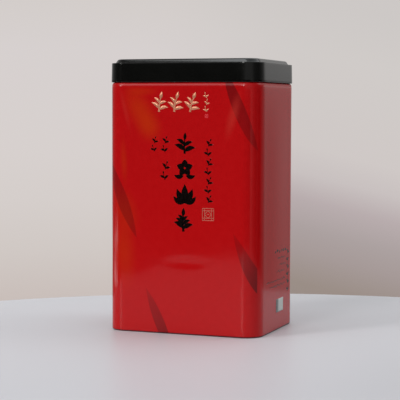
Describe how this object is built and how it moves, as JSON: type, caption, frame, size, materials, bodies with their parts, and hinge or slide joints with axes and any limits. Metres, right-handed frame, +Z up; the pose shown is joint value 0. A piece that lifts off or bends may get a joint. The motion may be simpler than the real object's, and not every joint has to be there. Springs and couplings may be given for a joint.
{
  "type": "tea tin",
  "caption": "Tall rectangular tea caddy of printed tinplate with rounded corners, a black slip lid with a raised panel, and a plug inner lid with a folding pull ring.",
  "frame": {"origin": "centre of the footprint, on the surface that the tin stands on", "axes": "+Z up through the lid, -Y towards the printed front, +X towards the side with the small printed label"},
  "size_m": [0.1008, 0.0778, 0.17],
  "materials": {
    "red_print": "gloss lacquer over lithographed tinplate",
    "black_lacquer": "semi-gloss black lacquer",
    "tinplate": "bare tinplate, satin",
    "ring_wire": "bright tinned wire",
    "rivet": "satin",
    "black_ink": "black litho ink under varnish",
    "gold_ink": "pale gold ink on embossed relief",
    "rose_ink": "rose litho ink under varnish",
    "label_ink": "pale printed patch under varnish"
  },
  "bodies": {
    "tin_body": {"body_wall": "red_print", "base_panel": "tinplate"},
    "plug": {"inner_lid": "tinplate", "ring_clip": "tinplate", "clip_rivet_front": "rivet", "clip_rivet_back": "rivet"},
    "ring": {"pull_ring": "ring_wire"},
    "cap": {"lid": "black_lacquer"}
  },
  "joints": [
    {"name": "inner_lid_lift", "type": "slide", "parent": "tin_body", "child": "plug", "axis": [0, 0, 1], "range_m": [0, 0.04]},
    {"name": "lid_lift", "type": "slide", "parent": "plug", "child": "cap", "axis": [0, 0, 1], "range_m": [0, 0.04]},
    {"name": "ring_fold", "type": "hinge", "parent": "plug", "child": "ring", "pos_m": [0, 0.005, 0.15495], "axis": [-1, 0, 0], "range_deg": [0, 88]}
  ]
}
